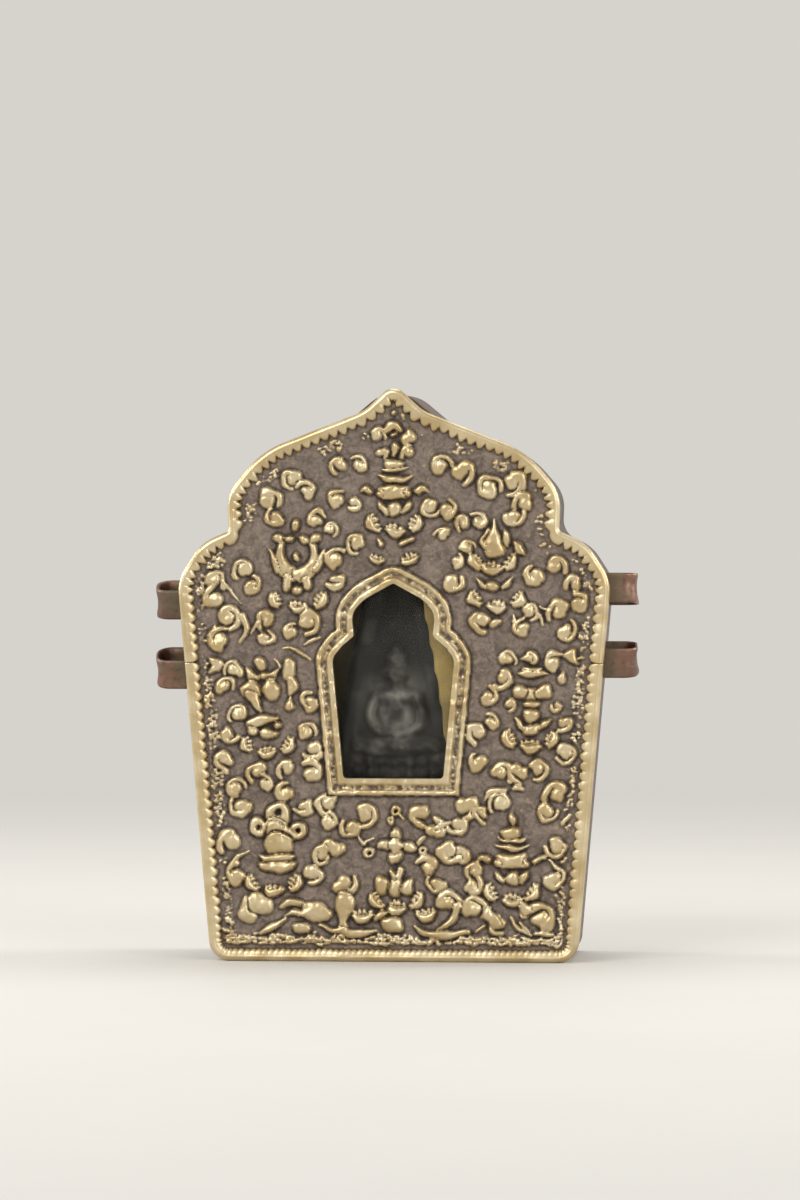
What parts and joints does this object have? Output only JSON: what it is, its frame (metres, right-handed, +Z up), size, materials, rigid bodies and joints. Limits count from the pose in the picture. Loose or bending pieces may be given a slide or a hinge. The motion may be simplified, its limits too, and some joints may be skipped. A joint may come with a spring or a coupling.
{
  "type": "amulet box",
  "caption": "Arched portable amulet box: repousse brass face with a glazed window on a copper case with strap loops, holding a clay votive tablet; the copper back pulls off.",
  "frame": {"origin": "middle of the flat base, halfway through the box's depth", "axes": "+Z up, the face looks along -Y, +X to the right of someone facing the window"},
  "size_m": [0.102, 0.034, 0.12],
  "materials": {
    "face_brass": "worn repousse brass, dark in the hollows",
    "tab_brass": "tarnished brass strip",
    "case_copper": null,
    "loop_copper": null,
    "window_glass": "dusty pane",
    "tablet_clay": "dark unglazed clay",
    "pad_silk": "folded yellow silk"
  },
  "bodies": {
    "case": {"face_plate": "face_brass", "rim_upper": "face_brass", "rim_lower": "face_brass", "side_band": "case_copper", "strap_loop_upper_left": "loop_copper", "strap_loop_upper_right": "loop_copper", "strap_loop_lower_left": "loop_copper", "strap_loop_lower_right": "loop_copper", "window_glass": "window_glass", "glass_tabs": "tab_brass", "votive_tablet": "tablet_clay", "silk_pad": "pad_silk"},
    "back_cover": {"back_plate": "case_copper", "back_flange": "case_copper"}
  },
  "joints": [
    {"name": "back_pull", "type": "slide", "parent": "case", "child": "back_cover", "axis": [0, 1, 0], "range_m": [0, 0.03]}
  ]
}
